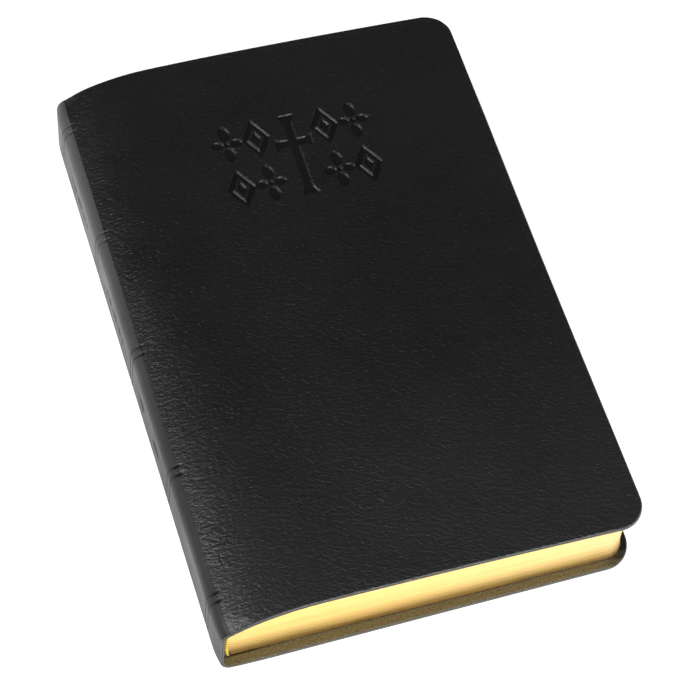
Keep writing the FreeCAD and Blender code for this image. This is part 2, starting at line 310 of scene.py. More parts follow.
def leather_shell(name, side, relief, pressed, columns, middle, materials):
    """A closed leather skin over one cover, with a rounded turned edge on its three free sides.

    relief(s, y) gives how far its face stands proud; pressed(s, y) is 1 inside the pressed
    ornament and is kept for the material."""
    length = cover_length(side)

    def plan(inset):
        y, far = row_plan(inset, length, CORNER_RADIUS, middle, SHELL_CORNER_STEPS)
        return columns[:, None] / length * far[None, :], np.repeat(y[None, :], len(columns), axis=0)

    s, y = plan(RIM)
    depth = cover_thickness(side, s, y)
    raised = relief(s, y)
    loop = np.array(loop_round(*s.shape)).T
    rings, ring_rest = [], []
    for angle in TURNED_EDGE_ANGLES:
        ring_s, ring_y = (grid[tuple(loop)] for grid in plan(RIM * (1 - math.sin(angle))))
        share = (1 - math.cos(angle)) / 2
        ring_depth = depth[tuple(loop)] * share - raised[tuple(loop)] * (1 - share)
        rings.append(on_cover(side, *limp_edges(side, ring_s, ring_y), ring_depth))
        ring_rest.append(np.column_stack([ring_s, ring_y, np.full(len(ring_s), share)]))
    top = on_cover(side, *limp_edges(side, s, y), -raised)
    bottom = on_cover(side, *limp_edges(side, s, y), depth)
    points, faces, levels = closed_slab((top, bottom), rings, *s.shape)
    rest_top = np.stack([s, y, np.zeros_like(s)], axis=-1).reshape(-1, 3)
    rest = np.vstack([rest_top, *ring_rest, rest_top + (0, 0, 1)])
    if side == BACK:
        faces = faces[:, ::-1]
    piece = make_piece(name, points, faces, materials, (levels > 0.5).astype(int), rest)
    layer = piece.data.attributes.new("pressed", "FLOAT", "POINT")
    shares = np.zeros(len(points))
    shares[: s.size] = pressed(s, y).ravel()
    layer.data.foreach_set("value", shares)
    return flat_edges(piece, SHELL_SHARP_ANGLE)


PLATE_SPACING = 0.004
PLATE_ROWS = np.linspace(0.02, HEIGHT - 0.02, 20)
PLATE_CORNER_STEPS = 7
CROWDING = 1.8  # grid lines stand closer together towards the spine
FRONT_LEAF_LEVEL = 0.028


def plate(name, start, inset, radius, depths, materials):
    """A thin sheet or board that follows the front cover at the given depths, with square edges."""
    length = FRONT_LENGTH
    columns = np.linspace(0, 1, int((length - inset - start) / PLATE_SPACING) + 2) ** CROWDING
    y, far = row_plan(inset, length, radius + inset, PLATE_ROWS, PLATE_CORNER_STEPS)
    s = start + columns[:, None] * (far - start)[None, :]
    y = np.repeat(y[None, :], len(columns), axis=0)
    grids = [on_cover(FRONT, s, y, depth) for depth in depths]
    loop = tuple(np.array(loop_round(*s.shape)).T)
    run = np.concatenate([[0], np.cumsum(np.hypot(np.diff(s[loop]), np.diff(y[loop])))])
    rings = [grids[0][loop] * (1 - share) + grids[1][loop] * share for share in (0.06, 0.94)]
    none = np.zeros_like(run)
    ring_rest = [np.column_stack([run, none + FRONT_LEAF_LEVEL - depth, none]) for depth in depths]
    points, faces, levels = closed_slab(grids, rings, *s.shape)
    rest = np.stack([s, y, np.zeros_like(s)], axis=-1).reshape(-1, 3)
    rest = np.vstack([rest, *ring_rest, rest])
    return flat_edges(make_piece(name, points, faces, materials, on_edge(levels), rest))


def flat_edges(piece, angle=40):
    """Keeps sharp edges sharp on a piece with smooth faces."""
    piece.data.set_sharp_from_angle(angle=math.radians(angle))
    return piece


# ---- Materials -------------------------------------------------------
def node(tree, kind, inputs=None, **settings):
    """Adds a shader node; inputs are values, or sockets to link."""
    made = tree.nodes.new(kind)
    for key, value in settings.items():
        setattr(made, key, value)
    for key, value in (inputs or {}).items():
        if isinstance(value, bpy.types.NodeSocket):
            tree.links.new(value, made.inputs[key])
        else:
            made.inputs[key].default_value = value
    return made


def start_material(name, **constants):
    """A material, its node tree and its shader; the constants are set straight on the shader."""
    made = bpy.data.materials.new(name)
    made.use_nodes = True
    shader = made.node_tree.nodes["Principled BSDF"]
    for key, value in constants.items():
        shader.inputs[key.replace("_", " ")].default_value = value
    return made, made.node_tree, shader


def rest_place(tree, scale=(1, 1, 1), offset=(0, 0, 0), turn=0.0):
    """Each point's own place, turned in its plane, scaled and moved."""
    place = node(tree, "ShaderNodeAttribute", attribute_name="rest").outputs["Vector"]
    if turn:
        place = node(tree, "ShaderNodeVectorRotate", {"Vector": place, "Angle": turn}).outputs["Vector"]
    mapped = node(tree, "ShaderNodeMapping", {"Vector": place, "Scale": scale, "Location": offset})
    return mapped.outputs["Vector"]


def maths(tree, operation, a, b=None, c=None):
    """One arithmetic step on values or sockets."""
    made = node(tree, "ShaderNodeMath", operation=operation)
    for i, value in enumerate((a, b, c)):
        if isinstance(value, bpy.types.NodeSocket):
            tree.links.new(value, made.inputs[i])
        elif value is not None:
            made.inputs[i].default_value = value
    return made.outputs[0]


def times(tree, a, b):
    return maths(tree, "MULTIPLY", a, b)


def between(tree, value, low, high):
    """1 where the value lies between low and high, 0 elsewhere."""
    return times(tree, maths(tree, "GREATER_THAN", value, low), maths(tree, "LESS_THAN", value, high))


def spread(tree, value, low, high, to_low, to_high):
    """Moves smoothly from to_low to to_high as the value goes from low to high."""
    made = node(
        tree,
        "ShaderNodeMapRange",
        {"Value": value, "From Min": low, "From Max": high, "To Min": to_low, "To Max": to_high},
        interpolation_type="SMOOTHSTEP",
    )
    return made.outputs["Result"]


def mix(tree, share, a, b):
    """Colour a where the share is 0, and b where it is 1."""
    made = node(tree, "ShaderNodeMix", data_type="RGBA")
    for socket, value in ((made.inputs[0], share), (made.inputs[6], a), (made.inputs[7], b)):
        if isinstance(value, bpy.types.NodeSocket):
            tree.links.new(value, socket)
        else:
            socket.default_value = value
    return made.outputs[2]


def noise(tree, place, scale, detail=3.0, rough=0.5, distortion=0.0):
    made = node(
        tree,
        "ShaderNodeTexNoise",
        {"Vector": place, "Scale": scale, "Detail": detail, "Roughness": rough, "Distortion": distortion},
    )
    return made.outputs["Fac"]


def colour(red, green, blue):
    return (red, green, blue, 1.0)


def add_bump(tree, shader, height, strength, distance):
    bump = node(tree, "ShaderNodeBump", {"Height": height, "Strength": strength, "Distance": distance})
    tree.links.new(bump.outputs[0], shader.inputs["Normal"])


WHITE = colour(1.0, 1.0, 1.0)
# Painted shade for the pressed marks and dents.
PAINTED_PRESS_SHADE = colour(0.0012, 0.0012, 0.0014)
# Painted highlight on the upper, light-facing part of the rounded turned edge.
PAINTED_RIM_HIGHLIGHT = colour(0.075, 0.078, 0.066)
# Painted reflection of the gilt edges on the turned-in leather, in a dark and a light tone.
PAINTED_GILT_GLOW_DARK = colour(0.075, 0.064, 0.036)
PAINTED_GILT_GLOW_LIGHT = colour(0.200, 0.166, 0.080)


def leather(name, wrinkles, base, worn, roughness, shine=0.36, inner=0.0, rim=(0.02, 0.26),
            painted_light_at_ends=(0.0, 0.0)):
    """Black leather: fine grain everywhere, and crinkles that run across the cover.

    rim gives the part of the turned edge that is painted pale, a painted highlight on its rounded top.
    painted_light_at_ends says how much paler the leather is painted towards the tail and towards the
    head, as painted light. inner is the cover's length where the leather is the turned-in side, whose
    ends carry a painted reflection of the warm glow of the gilt edges."""
    made, tree, shader = start_material(name, Specular_IOR_Level=shine)
    shader.inputs["Sheen Weight"].default_value = 0.03
    shader.inputs["Sheen Roughness"].default_value = 0.5
    place = rest_place(tree)
    s, y, under = node(tree, "ShaderNodeSeparateXYZ", {"Vector": place}).outputs
    pressed = node(tree, "ShaderNodeAttribute", attribute_name="pressed").outputs["Fac"]

    # Ripples run straight across beside the crease; creases wander over the rest of the cover.
    ripples = noise(tree, rest_place(tree, (260, 800, 1)), 1.0, 3.0, 0.6, 0.6)
    wander = noise(tree, rest_place(tree, (80, 230, 1), (0, 0, 0), 0.26), 1.0, 4.0, 0.6, 0.9)
    from_middle = maths(tree, "ABSOLUTE", maths(tree, "SUBTRACT", wander, 0.5))
    creases = spread(tree, from_middle, 0.0, 0.07, 0.0, 1.0)
    grain = noise(tree, rest_place(tree, (560, 880, 1), (0, 0, 0), 0.3), 1.0, 2.0, 0.6, 0.5)
    fine_grain = noise(tree, rest_place(tree, (1500, 2100, 1)), 1.0, 2.0, 0.6)

    beside_crease = times(
        tree, spread(tree, s, 0.0004, 0.0030, 0.0, 1.0), spread(tree, s, 0.008, 0.036, 1.0, 0.12)
    )
    towards_tail = spread(tree, y, 0.02, 0.19, 1.0, 0.80)
    on_flat = spread(tree, s, 0.006, 0.045, 0.8, 2.3)
    patches = spread(tree, noise(tree, rest_place(tree, (19, 19, 1)), 1.0, 3.0), 0.36, 0.62, 0.35, 1.0)
    height = 0.0
    for field, share, middle in (
        (ripples, times(tree, beside_crease, 1.15 * wrinkles), 0.5),
        (creases, times(tree, patches, 0.07 * wrinkles), 0.8),
        (grain, 0.06 + 1.15 * wrinkles, 0.5),
        (fine_grain, 0.05 + 0.20 * wrinkles, 0.5),
    ):
        height = maths(tree, "MULTIPLY_ADD", maths(tree, "SUBTRACT", field, middle), share, height)
    in_press = spread(tree, pressed, 0.0, 0.25, 0.0, 1.0)
    height = times(tree, height, times(tree, towards_tail, on_flat))
    height = times(tree, height, spread(tree, in_press, 0.0, 1.0, 1.0, 0.12))
    add_bump(tree, shader, height, 0.7, 0.00036)

    cloudy = noise(tree, rest_place(tree, (22, 22, 1), (0.3, 0.7, 0)), 1.0, 5.0, 0.6)
    tone = mix(tree, spread(tree, cloudy, 0.3, 0.7, 0.0, 1.0), colour(*base), colour(*worn))
    # Painted shade: the pressed marks and the dents at the line ends are painted darker.
    tone = mix(tree, times(tree, in_press, 0.8), tone, PAINTED_PRESS_SHADE)
    # Painted light: the leather is painted paler towards the tail and towards the head, standing in for
    # the light that falls there.
    painted_end_light = spread(tree, y, 0.0, 0.10, painted_light_at_ends[0], 0.0)
    painted_end_light = maths(tree, "ADD", painted_end_light, spread(tree, y, 0.05, 0.20, 0.0, painted_light_at_ends[1]))
    tone = mix(tree, painted_end_light, tone, WHITE)
    # Painted highlight: the light-facing part of the rounded turned edge is painted pale.
    rim_start = spread(tree, under, rim[0], rim[0] + 0.08, 0.0, 1.0)
    rim_end = spread(tree, under, rim[1] - 0.08, rim[1] + 0.08, 1.0, 0.0)
    tone = mix(tree, times(tree, rim_start, rim_end), tone, PAINTED_RIM_HIGHLIGHT)
    if inner:
        # Painted reflection: the ends of the turned-in side are painted with the warm light of the gilt
        # edges, less towards the fore-edge.
        ends = maths(tree, "MINIMUM", y, maths(tree, "SUBTRACT", HEIGHT, y))
        lit = spread(tree, ends, 0.0035, 0.0062, 1.0, 0.0)
        near_fore = spread(tree, s, inner - 0.012, inner - 0.002, 1.0, 0.1)
        speckle = noise(tree, rest_place(tree, (1300, 1600, 1)), 1.0, 3.0, 0.75)
        speckle = spread(tree, speckle, 0.34, 0.66, 0.0, 1.0)
        warm = mix(tree, speckle, PAINTED_GILT_GLOW_DARK, PAINTED_GILT_GLOW_LIGHT)
        inside = spread(tree, under, 0.84, 0.98, 0.0, 1.0)
        lit = times(tree, lit, inside)
        tone = mix(tree, times(tree, lit, near_fore), tone, warm)
    tree.links.new(tone, shader.inputs["Base Color"])
    smudge = noise(tree, rest_place(tree, (45, 45, 1), (0.9, 0.1, 0)), 1.0, 4.0, 0.65)
    smudged = spread(tree, smudge, 0.3, 0.7, roughness - 0.05, roughness + 0.07)
    smudged = maths(tree, "MULTIPLY_ADD", in_press, 0.03, smudged)
    tree.links.new(smudged, shader.inputs["Roughness"])
    return made


def gilt(name):
    """Gold leaf on the edges of the pages, burnished along them, with faint lines between leaves.

    On these faces the attribute rest holds the distance round the block, the level and 0."""
    made, tree, shader = start_material(name, Metallic=1.0)
    streaks = noise(tree, rest_place(tree, (14, 1900, 1)), 1.0, 3.0, 0.55)
    wide = noise(tree, rest_place(tree, (24, 330, 1), (0.2, 0.4, 0)), 1.0, 4.0, 0.55)
    run, level, _ = node(tree, "ShaderNodeSeparateXYZ", {"Vector": rest_place(tree)}).outputs
    # Painted reflection: the lowest part of the gilt is painted amber, where the dark leather below is
    # mirrored in the gold.
    low_down = spread(tree, level, 0.003, 0.018, 1.0, 0.0)
    amber_share = times(tree, low_down, spread(tree, wide, 0.30, 0.65, 0.45, 0.95))
    streaked = spread(tree, streaks, 0.3, 0.75, 0.0, 1.0)
    deep = mix(tree, streaked, colour(0.88, 0.63, 0.20), colour(0.98, 0.76, 0.28))
    pale = mix(tree, streaked, colour(0.96, 0.74, 0.32), colour(1.0, 0.86, 0.42))
    gold = mix(tree, spread(tree, run, 0.03, 0.16, 0.0, 1.0), deep, pale)
    gold = mix(tree, amber_share, gold, colour(0.76, 0.49, 0.17))
    flecks = noise(tree, rest_place(tree, (330, 900, 1), (5, 2, 0)), 1.0, 2.0, 0.5)
    flecks = spread(tree, flecks, 0.71, 0.76, 0.0, 0.7)
    gold = mix(tree, flecks, gold, colour(0.42, 0.27, 0.10))
    tree.links.new(gold, shader.inputs["Base Color"])
    rough = spread(tree, wide, 0.3, 0.7, 0.34, 0.46)
    tree.links.new(rough, shader.inputs["Roughness"])
    add_bump(tree, shader, streaks, 0.25, 0.00005)
    return made


def paper(name, base, printed):
    """Thin book paper; printed pages carry two columns of broken lines that stand for the text."""
    made, tree, shader = start_material(name, Roughness=0.72, Specular_IOR_Level=0.25)
    fibres = noise(tree, rest_place(tree, (700, 900, 1)), 1.0, 5.0, 0.65)
    tone = mix(tree, fibres, colour(*base), colour(*(0.88 * c for c in base)))
    aged = spread(tree, noise(tree, rest_place(tree, (14, 14, 1)), 1.0, 3.0), 0.35, 0.7, 0.0, 0.5)
    tone = mix(tree, aged, tone, colour(0.93 * base[0], 0.88 * base[1], 0.78 * base[2]))
    if printed:
        tone = print_columns(tree, tone)
    tree.links.new(tone, shader.inputs["Base Color"])
    add_bump(tree, shader, fibres, 0.15, 0.00005)
    return made


LINE_PITCH = 0.0030
COLUMN_GAP = 0.0030  # from the middle of the page to the columns
COLUMN_END = 0.054
RULE_HALF_WIDTH = 0.00012
INK = colour(0.05, 0.045, 0.04)


def print_columns(tree, paper_tone):
    """Two columns of grey bars of uneven length, with a thin rule between them."""
    place = rest_place(tree)
    x, y, _ = node(tree, "ShaderNodeSeparateXYZ", {"Vector": place}).outputs
    row = maths(tree, "FLOOR", maths(tree, "DIVIDE", y, LINE_PITCH))
    within = maths(tree, "FRACT", maths(tree, "DIVIDE", y, LINE_PITCH))
    ink_row = between(tree, within, 0.30, 0.72)
    place_in_row = node(
        tree, "ShaderNodeCombineXYZ", {"X": times(tree, x, 260.0), "Y": times(tree, row, 7.31)}
    ).outputs[0]
    words = maths(tree, "GREATER_THAN", noise(tree, place_in_row, 1.0, 2.0, 0.7), 0.43)
    middle = 0.5 * (ROOT_X + FORE_X) + 0.004
    from_middle = maths(tree, "ABSOLUTE", maths(tree, "SUBTRACT", x, middle))
    in_column = between(tree, from_middle, COLUMN_GAP, COLUMN_END)
    in_height = between(tree, y, 0.018, HEIGHT - 0.021)
    rule = times(tree, maths(tree, "LESS_THAN", from_middle, RULE_HALF_WIDTH), in_height)
    ink = times(tree, times(tree, ink_row, words), times(tree, in_column, in_height))
    ink = maths(tree, "MAXIMUM", times(tree, ink, 0.75), times(tree, rule, 0.5))
    return mix(tree, ink, paper_tone, INK)


def thread(name, base, dark):
    """Silky sewing thread of one colour."""
    made, tree, shader = start_material(name, Roughness=0.6)
    shader.inputs["Sheen Weight"].default_value = 0.1
    strands = noise(tree, rest_place(tree, (5000, 5000, 5000)), 1.0, 2.0)
    tree.links.new(mix(tree, strands, colour(*base), colour(*dark)), shader.inputs["Base Color"])
    add_bump(tree, shader, strands, 0.5, 0.0001)
    return made


def fibre(name, base, dark, scale):
    """Board or cloth inside the binding, by place in the object's own space."""
    made, tree, shader = start_material(name, Roughness=0.85)
    place = node(tree, "ShaderNodeTexCoord").outputs["Object"]
    mapped = node(tree, "ShaderNodeMapping", {"Vector": place, "Scale": scale}).outputs[0]
    speck = noise(tree, mapped, 1.0, 5.0, 0.7)
    tree.links.new(mix(tree, speck, colour(*base), colour(*dark)), shader.inputs["Base Color"])
    add_bump(tree, shader, speck, 0.4, 0.0001)
    return made


BLACK = (0.0045, 0.0045, 0.0048)
WORN_BLACK = (0.0075, 0.0075, 0.0078)
INSIDE = ((0.006, 0.006, 0.006), (0.011, 0.011, 0.010), 0.5)  # base, worn, roughness
# The cover carries painted light towards the tail, the spine towards the head.
COVER_LEATHER = leather("cover_leather", 1.0, BLACK, WORN_BLACK, 0.31, 0.37, painted_light_at_ends=(0.010, 0.0))
SPINE_LEATHER = leather("spine_leather", 0.45, BLACK, WORN_BLACK, 0.46, 0.34, painted_light_at_ends=(0.0, 0.055))
FRONT_TURN_IN = leather("front_turned_leather", 0.4, *INSIDE, inner=FRONT_LENGTH)
# On the back cover the painted highlight lies on the inner part of the turned edge, which faces up.
BACK_TURN_IN = leather("back_turned_leather", 0.4, *INSIDE, inner=BACK_LENGTH, rim=(0.40, 0.85))
GILT = gilt("gilt_edges")
PAGE = paper("printed_page", (0.86, 0.80, 0.66), True)
PLAIN_PAGE = paper("plain_page", (0.87, 0.81, 0.68), False)
ENDPAPER = paper("endpaper", (0.075, 0.048, 0.036), False)
YELLOW_THREAD = thread("yellow_thread", (0.80, 0.55, 0.025), (0.62, 0.40, 0.015))
BLACK_THREAD = thread("black_thread", (0.012, 0.012, 0.010), (0.03, 0.028, 0.02))
BOARD = fibre("grey_board", (0.34, 0.32, 0.29), (0.24, 0.22, 0.20), (900, 900, 4000))
MULL = fibre("mull_and_glue", (0.62, 0.57, 0.46), (0.45, 0.40, 0.30), (1800, 1800, 1800))


# ---- Pressed ornament on the front cover -----------------------------
PANEL_X = 0.0757
PANEL_Y = 0.1672
PANEL_HALF_WIDTH = 0.0300
PANEL_HALF_HEIGHT = 0.0182
PANEL_GRID = 0.00023
ROW_OFFSET = 0.0096
COLUMN_OFFSETS = (0.0125, 0.0231)
PRESS_DEPTH = 0.00072
PRESS_EDGE = 0.00070
CROSS_HALF_LINE = 0.0015
CROSS_FLARE = 0.45
CROSS_HALF_HEIGHT = 0.0170
CROSS_HALF_WIDTH = 0.0067
CROSS_ARM_V = 0.0050
FRAME_HALF_LINE = 0.0007


def lens(u, v, half_width, half_height):
    """Signed distance to an upright leaf shape with pointed ends."""
    radius = (half_width ** 2 + half_height ** 2) / (2 * half_width)
    return np.hypot(np.abs(u) + radius - half_width, v) - radius


def lozenge(u, v, half_width, half_height):
    """Signed distance to a lozenge, true near its sides."""
    along = np.hypot(half_width, half_height)
    return (np.abs(u) * half_height + np.abs(v) * half_width - half_width * half_height) / along


def cross(u, v):
    """Latin cross with flared ends."""
    upright = np.abs(u) - (CROSS_HALF_LINE + CROSS_FLARE * np.maximum(0, np.abs(v) - 0.0140))
    upright = np.maximum(upright, np.abs(v) - CROSS_HALF_HEIGHT)
    arms = np.abs(v - CROSS_ARM_V) - (CROSS_HALF_LINE + CROSS_FLARE * np.maximum(0, np.abs(u) - 0.0045))
    arms = np.maximum(arms, np.abs(u) - CROSS_HALF_WIDTH)
    return np.minimum(upright, arms)


def four_leaves(u, v):
    """Four pointed leaves round a small lozenge."""
    upright = lens(u, np.abs(v) - 0.0045, 0.0019, 0.0031)
    across = lens(v, np.abs(u) - 0.0034, 0.0016, 0.0021)
    return np.minimum(np.minimum(upright, across), lozenge(u, v, 0.0011, 0.0011))


def framed_lozenge(u, v):
    """Lozenge frame with a solid lozenge inside."""
    frame_line = np.abs(lozenge(u, v, 0.0041, 0.0066)) - FRAME_HALF_LINE
    return np.minimum(frame_line, lozenge(u, v, 0.0016, 0.0027))


def panel_distance(x, y):
    """Signed distance to the pressed ornament: a cross between two rows of leaves and lozenges."""
    u = x - PANEL_X
    v = y - PANEL_Y
    best = cross(u, v)
    motifs = [framed_lozenge, four_leaves]
    for column in COLUMN_OFFSETS:
        for motif, row in zip(motifs, (ROW_OFFSET, -ROW_OFFSET)):
            best = np.minimum(best, motif(np.abs(u) - column, v - row))
        motifs.reverse()
    return best


# ---- Covers ----------------------------------------------------------
PAIR_SPACING = 0.0471
PAIR_HALF_GAP = 0.0015
PAIR_CENTRES = [HEIGHT / 2 + k * PAIR_SPACING for k in (-2, -1, 0, 1, 2)]
LINE_HALF_WIDTH = 0.00055
LINE_DEPTH = 0.00044
LINE_END_REACH = 0.0010
LINE_END_DEPTH = {FRONT: 0.00078, BACK: 0.00034}
SPINE_MARK_DEPTH = 0.00038
CREASE_REACH = 0.0012
CREASE_DEPTH = 0.00005
EDGE_ROUNDING = 0.00018
SPINE_END_DEPTH = 0.0010
WAVE_HEIGHT = 0.00010
PLEAT_HEIGHT = 0.00022


def pair_lines(y):
    """1 in the middle of each pressed line across the spine, falling to 0 beside it."""
    value = np.zeros_like(y)
    for centre in PAIR_CENTRES:
        for line in (centre - PAIR_HALF_GAP, centre + PAIR_HALF_GAP):
            value = np.maximum(value, np.clip(1 - np.abs(y - line) / LINE_HALF_WIDTH, 0, 1))
    return value * value * (3 - 2 * value)


def limp_waves(s, y):
    """Slow unevenness of soft leather over a thin board."""
    return WAVE_HEIGHT * (
        np.sin(s * 71 + 1.3 * np.sin(y * 34)) * np.sin(y * 52 + 0.7)
        + 0.6 * np.sin(s * 133 + y * 87 + 1.9)
    )


def edge_distance(s, y, length):
    return np.minimum(np.minimum(y, HEIGHT - y), length - s)


def panel_pressed(s, y):
    """1 inside the pressed ornament of the front cover, 0 outside it, with a sloping edge."""
    x = on_cover(FRONT, s, y, 0.0)[..., 0] - SPINE_X
    return 1 - smoothstep(-PRESS_EDGE / 2, PRESS_EDGE / 2, panel_distance(x, y))


def line_ends(s, y):
    """1 in the small deep dents at the crease where the pressed lines end."""
    return pair_lines(y) * np.exp(-(s / LINE_END_REACH) ** 2)


def crease(s):
    """The shallow crease beside the spine."""
    return CREASE_DEPTH * np.exp(-(s / CREASE_REACH) ** 2)


# The dents at the line ends count partly as pressed, so they get painted shade and less grain.
def front_pressed(s, y):
    return np.maximum(panel_pressed(s, y), 0.3 * line_ends(s, y))


# The lines across the spine and their end dents count partly as pressed, so they get painted shade and
# less grain.
def back_pressed(s, y):
    return np.maximum(spine_pressed(s, y), 0.13 * pair_lines(y) + 0.17 * line_ends(s, y))


def spine_end(y):
    """How far the leather at the ends of the spine is drawn in over the bands."""
    end = np.minimum(y, HEIGHT - y)
    return SPINE_END_DEPTH * np.clip(1 - end / 0.008, 0, 1) ** 2


def front_relief(s, y):
    to_edge = edge_distance(s, y, FRONT_LENGTH)
    pressed = PRESS_DEPTH * panel_pressed(s, y) + LINE_END_DEPTH[FRONT] * line_ends(s, y)
    rounding = EDGE_ROUNDING * (1 - smoothstep(0.0, 0.004, to_edge))
    drawn_in = spine_end(y) * (1 - smoothstep(0.0, 0.009, s))
    return limp_waves(s, y) * smoothstep(0.0, 0.012, to_edge) - pressed - crease(s) - rounding - drawn_in


def pleats(s, y, length):
    """Gathers in the turned-in leather round the fore-edge corners."""
    across = s - (length - CORNER_RADIUS)
    upwards = CORNER_RADIUS - np.minimum(y, HEIGHT - y)
    reach = np.hypot(np.maximum(across, 0), np.maximum(upwards, 0)) / CORNER_RADIUS
    angle = np.arctan2(np.maximum(upwards, 0), np.maximum(across, 1e-6))
    return PLEAT_HEIGHT * np.sin(14 * angle) * np.sin(2 * angle) * smoothstep(0.3, 0.8, reach)


def cover_thickness(side, s, y):
    """Thin on the spine and at the joint, thicker over the board and where the ends are turned in."""
    joint = s_at_x(side, JOINT_X)
    over_board = smoothstep(joint - 0.0025, joint + 0.0005, s)
    at_end = 1 - smoothstep(0.0036, 0.0041, np.minimum(y, HEIGHT - y))
    thick = np.maximum(over_board, at_end)
    return SPINE_THICKNESS + (COVER_THICKNESS - SPINE_THICKNESS) * thick + pleats(s, y, cover_length(side))


def spine_pressed(s, y):
    """1 inside the small pressed marks along the middle of the spine."""
    u = s - 0.45 * SPINE_RUN
    best = lens(u, y - 0.0765, 0.0012, 0.0040)
    best = np.minimum(best, np.abs(np.hypot(u, y - 0.0940) - 0.0017) - 0.0005)
    for centre in (0.1300, 0.1785):
        best = np.minimum(best, lens(u, y - centre, 0.0012, 0.0034))
        best = np.minimum(best, lozenge(u, np.abs(y - centre) - 0.0060, 0.0014, 0.0019))
        best = np.minimum(best, lozenge(u, np.abs(y - centre) - 0.0100, 0.0009, 0.0013))
    return 1 - smoothstep(-0.0002, 0.0002, best)


def back_relief(s, y):
    on_spine = 1 - smoothstep(SPINE_RUN - 0.012, SPINE_RUN - 0.004, s)
    on_foot = 1 - smoothstep(SPINE_RUN - 0.002, SPINE_RUN + 0.014, s)
    flat = smoothstep(SPINE_RUN + 0.01, SPINE_RUN + 0.03, s)
    rounding = EDGE_ROUNDING * (1 - smoothstep(0.0, 0.004, edge_distance(s, y, BACK_LENGTH))) * flat
    pressed = LINE_DEPTH * pair_lines(y) + LINE_END_DEPTH[BACK] * line_ends(s, y)
    pressed = pressed + SPINE_MARK_DEPTH * spine_pressed(s, y)
    return -pressed * on_spine - spine_end(y) * on_foot - crease(s) - rounding


def blend_at_front_joint(piece):
    """Bakes the piece's placement into its mesh; it is not bent round the front joint."""
    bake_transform(piece)


def blend_at_fold(piece):
    """Bakes the piece's placement into its mesh; it is not bent at the fold."""
    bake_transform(piece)


GRID = 0.0030
BACK_GRID = 0.0040
LINE_STRETCHES = [(centre - 0.003, centre + 0.003, 0.0003) for centre in PAIR_CENTRES]
MARK_STRETCHES = [(0.072, 0.096, 0.0005), (0.118, 0.142, 0.0005), (0.166, 0.191, 0.0005)]


def rows_between_corners(stretches):
    """Heights of the grid lines between the rounded corners of a cover."""
    return lines_between(CORNER_RADIUS, HEIGHT - CORNER_RADIUS, GRID, stretches)[1:-1]


def make_covers():
    """The two leather skins: the front cover, and the back cover with the spine."""
    across_panel = (PANEL_X - PANEL_HALF_WIDTH, PANEL_X + PANEL_HALF_WIDTH, PANEL_GRID)
    along_panel = (PANEL_Y - PANEL_HALF_HEIGHT, PANEL_Y + PANEL_HALF_HEIGHT, PANEL_GRID)
    at_crease = [(0.0, 0.004, 0.0004), (0.004, 0.02, 0.001)]
    front = leather_shell(
        "front_cover_skin", FRONT, front_relief, front_pressed,
        lines_between(0.0, FRONT_LENGTH, GRID, at_crease + [across_panel]),
        rows_between_corners([along_panel] + LINE_STRETCHES), [COVER_LEATHER, FRONT_TURN_IN],
    )
    blend_at_front_joint(front)
    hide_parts("front_leather")

    on_spine = [(0.0, 0.004, 0.0003), (0.004, SPINE_RUN, 0.0005)]
    back = leather_shell(
        "back_cover_and_spine_skin", BACK, back_relief, back_pressed,
        lines_between(0.0, BACK_LENGTH, BACK_GRID, on_spine),
        rows_between_corners(LINE_STRETCHES + MARK_STRETCHES), [SPINE_LEATHER, BACK_TURN_IN],
    )
    blend_at_fold(back)
    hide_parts("back_leather", "spine_leather")


BOARD_FROM_JOINT = 0.0075
PAPER_FROM_JOINT = 0.0005
BOARD_DEPTHS = (0.0010, 0.0018)
PASTED_HALF_THICKNESS = 0.0001


def make_inner_boards():
    """Board and pastedown inside the front cover, which follow its curve."""
    board = plate(
        "front_limp_board", s_at_x(FRONT, JOINT_X + BOARD_FROM_JOINT), 0.0015, 0.008,
        BOARD_DEPTHS, [BOARD, BOARD],
    )
    blend_at_front_joint(board)
    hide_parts("front_board")
    depths = (COVER_THICKNESS - PASTED_HALF_THICKNESS, COVER_THICKNESS + PASTED_HALF_THICKNESS)
    pasted = plate(
        "front_pasted_endpaper", s_at_x(FRONT, JOINT_X + PAPER_FROM_JOINT), TURN_IN, 0.005,
        depths, [ENDPAPER, ENDPAPER],
    )
    blend_at_front_joint(pasted)
    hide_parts("front_pastedown")


def make_front_leaves():
    """Flyleaf, presentation leaf and title leaf, in front of the text; each stands as three sheets."""
    start = s_at_x(FRONT, JOINT_X + PAPER_FROM_JOINT)
    looks = (("front_flyleaf", ENDPAPER), ("presentation_leaf", PLAIN_PAGE), ("title_leaf", PLAIN_PAGE))
    first = COVER_THICKNESS + 0.00013
    pitch = (TEXT_TOP_DEPTH - first) / (len(looks) * SHEETS_PER_LEAF)
    for k, (name, look) in enumerate(looks):
        for i in range(SHEETS_PER_LEAF):
            depth = first + (k * SHEETS_PER_LEAF + i) * pitch
            leaf = plate(
                "%s_%s" % (name, "abc"[i]), start, SQUARE, PAGE_CORNER,
                (depth, depth + 0.98 * pitch), [look if i == 0 else PLAIN_PAGE, GILT],
            )
            blend_at_front_joint(leaf)
            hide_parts(name)


# ---- Text block ------------------------------------------------------
def text_top(x):
    """Height of the top of the sewn leaves at x from the spine."""
    roll = ROLL_CENTRE[1] + np.sqrt(np.maximum((ROLL_RADIUS - TEXT_TOP_DEPTH) ** 2 - (PEAK_X - x) ** 2, 0))
    flat = FLAT_CENTRE[1] + np.sqrt((FLAT_RADIUS - TEXT_TOP_DEPTH) ** 2 - (x - PEAK_X) ** 2)
    return np.where(x < PEAK_X, roll, flat)


# The height functions give the level a share of the way up a part of the text, at each x; the root
# functions give where its leaves begin.
def lower_height(x, share):
    return TEXT_BOTTOM + share * (MIDDLE_BOTTOM - TEXT_BOTTOM) + 0 * x


